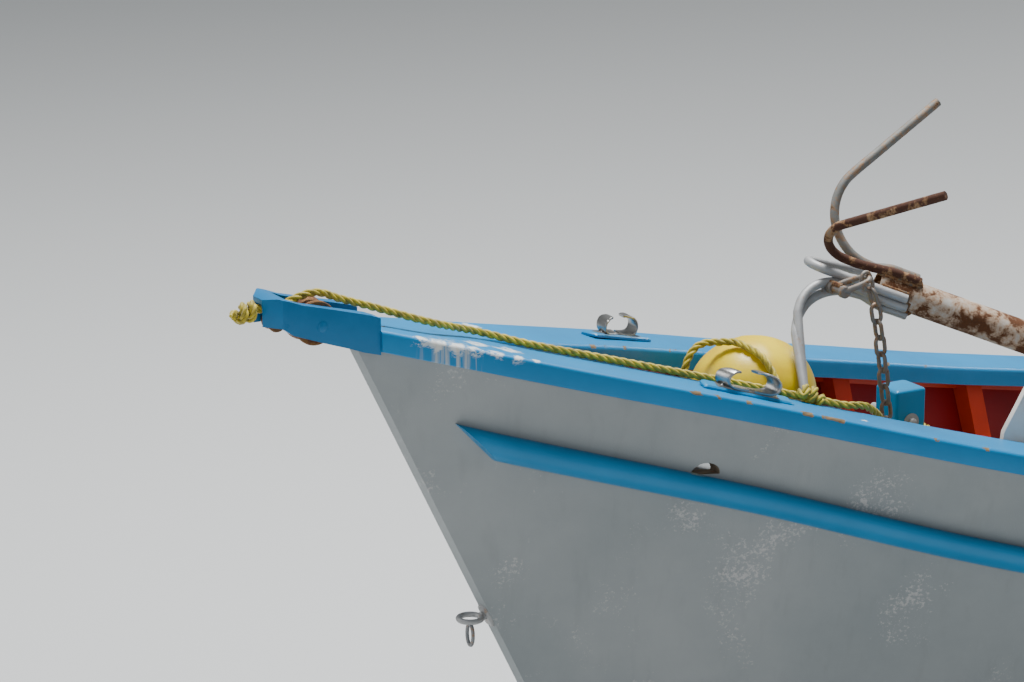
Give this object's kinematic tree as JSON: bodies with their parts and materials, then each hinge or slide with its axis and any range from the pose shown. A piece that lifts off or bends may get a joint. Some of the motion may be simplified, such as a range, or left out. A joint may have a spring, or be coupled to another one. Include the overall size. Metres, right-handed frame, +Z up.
{
  "type": "small wooden fishing trawler",
  "caption": "Decked wooden fishing boat, afloat: sheered bow with cap rails and rubbing strakes, wheelhouse, trawl winch, fish hatch, stern gantry, and ground tackle on the foredeck.",
  "frame": {"origin": "on the centreline at the waterline, halfway along the hull", "axes": "+X forward to the bow, +Y to port, +Z up"},
  "size_m": [8.786, 2.29, 4.31],
  "materials": {
    "hull_paint": "weathered light grey paint on planks",
    "deck_paint": "worn grey non-slip paint",
    "bottom_paint": "flat green bottom paint",
    "rail_paint": "brushed blue gloss paint, chipped to the wood",
    "rib_paint": "red oxide and orange-red paint",
    "blue_steel": "brushed blue paint over steel",
    "rusty_iron": "brown rust",
    "stainless": "polished, worn",
    "galvanised": "dull zinc and old white paint with heavy rust",
    "float_plastic": "moulded, scuffed",
    "board_paint": "white paint",
    "rope_fibre": "three-strand yellow rope",
    "window_glass": "clear",
    "dark_steel": "black paint with rust",
    "engine_iron": "green engine paint",
    "varnished_wood": "varnished or bare planks",
    "bronze": "dull bronze"
  },
  "bodies": {
    "boat": {"hull": "hull_paint", "bulwark_fore_port": "hull_paint", "bulwark_aft_port": "hull_paint", "bulwark_fore_starboard": "hull_paint", "bulwark_aft_starboard": "hull_paint", "transom": "hull_paint", "foredeck": "deck_paint", "working_deck": "deck_paint", "keel": "bottom_paint", "cap_rail_port": "rail_paint", "cap_rail_starboard": "rail_paint", "transom_rail": "rail_paint", "rub_strake_port": "rail_paint", "rub_strake_starboard": "rail_paint", "bulwark_ribs_port": "rib_paint", "bulwark_ribs_starboard": "rib_paint", "bow_fitting": "blue_steel", "chock_port": "stainless", "chock_starboard": "stainless", "samson_post": "rail_paint", "bow_eye": "galvanised", "bow_link": "galvanised", "float": "float_plastic", "grapnel_anchor": "galvanised", "anchor_chain": "rusty_iron", "bottom_board": "board_paint", "bow_rope": "rope_fibre", "float_rope": "rope_fibre", "wheelhouse": "board_paint", "wheelhouse_roof": "rail_paint", "front_pane_port": "window_glass", "front_pane_starboard": "window_glass", "side_pane_port": "window_glass", "side_pane_starboard": "window_glass", "back_pane": "window_glass", "mast": "board_paint", "exhaust_stack": "dark_steel", "engine": "engine_iron", "engine_casing": "varnished_wood", "helm_cabinet": "varnished_wood", "trawl_winch_frame": "dark_steel", "hatch_coaming": "rail_paint", "stern_gantry": "blue_steel", "trawl_door_port": "varnished_wood", "trawl_door_starboard": "varnished_wood"},
    "rudder": {"rudder": "bottom_paint"},
    "propeller": {"propeller": "bronze", "propeller_shaft": "stainless"},
    "bow_roller_aft": {"bow_roller_aft": "rusty_iron"},
    "bow_roller_fore": {"bow_roller_fore": "rusty_iron"},
    "wheelhouse_door": {"wheelhouse_door": "rail_paint"},
    "hatch_lid": {"hatch_lid": "deck_paint"},
    "engine_casing_lid": {"engine_casing_lid": "varnished_wood"},
    "steering_wheel": {"steering_wheel": "varnished_wood"},
    "winch_drum_port": {"winch_drum_port": "dark_steel"},
    "winch_drum_starboard": {"winch_drum_starboard": "dark_steel"},
    "towing_block_port": {"towing_block_port": "galvanised"},
    "towing_block_starboard": {"towing_block_starboard": "galvanised"}
  },
  "joints": [
    {"name": "rudder_turn", "type": "hinge", "parent": "boat", "child": "rudder", "pos_m": [-3.82, 0, -0.3], "axis": [0, 0, 1], "range_deg": [-35, 35]},
    {"name": "propeller_spin", "type": "hinge", "parent": "boat", "child": "propeller", "pos_m": [-3.466, 0, -0.47], "axis": [1, 0, 0], "continuous": true},
    {"name": "wheelhouse_door_swing", "type": "hinge", "parent": "boat", "child": "wheelhouse_door", "pos_m": [-0.358, 0.537, 1.1], "axis": [0, 0, -1], "range_deg": [0, 110]},
    {"name": "hatch_lid_lift", "type": "hinge", "parent": "boat", "child": "hatch_lid", "pos_m": [-1.504, 0, 0.41], "axis": [0, 1, 0], "range_deg": [0, 100]},
    {"name": "engine_lid_lift", "type": "hinge", "parent": "boat", "child": "engine_casing_lid", "pos_m": [0.809, 0, 0.7], "axis": [0, 1, 0], "range_deg": [0, 75]},
    {"name": "steering_wheel_turn", "type": "hinge", "parent": "boat", "child": "steering_wheel", "pos_m": [0.85, -0.325, 0.94], "axis": [1, 0, 0], "range_deg": [-525, 525]},
    {"name": "winch_drum_port_spin", "type": "hinge", "parent": "boat", "child": "winch_drum_port", "pos_m": [-1.1, 0.206, 0.56], "axis": [0, 1, 0], "continuous": true},
    {"name": "winch_drum_starboard_spin", "type": "hinge", "parent": "boat", "child": "winch_drum_starboard", "pos_m": [-1.1, -0.206, 0.56], "axis": [0, 1, 0], "continuous": true},
    {"name": "towing_block_port_swing", "type": "hinge", "parent": "boat", "child": "towing_block_port", "pos_m": [-3.7, 0.52, 2.172], "axis": [0, 1, 0], "range_deg": [-50, 50]},
    {"name": "towing_block_starboard_swing", "type": "hinge", "parent": "boat", "child": "towing_block_starboard", "pos_m": [-3.7, -0.52, 2.172], "axis": [0, 1, 0], "range_deg": [-50, 50]},
    {"name": "bow_roller_aft_spin", "type": "hinge", "parent": "boat", "child": "bow_roller_aft", "pos_m": [4.375, 0, 1.519], "axis": [0, 1, 0], "continuous": true},
    {"name": "bow_roller_fore_spin", "type": "hinge", "parent": "boat", "child": "bow_roller_fore", "pos_m": [4.452, 0, 1.528], "axis": [0, 1, 0], "continuous": true}
  ],
  "couplings": [
    {"joint": "steering_wheel_turn", "follows": "rudder_turn", "ratio": 15}
  ]
}
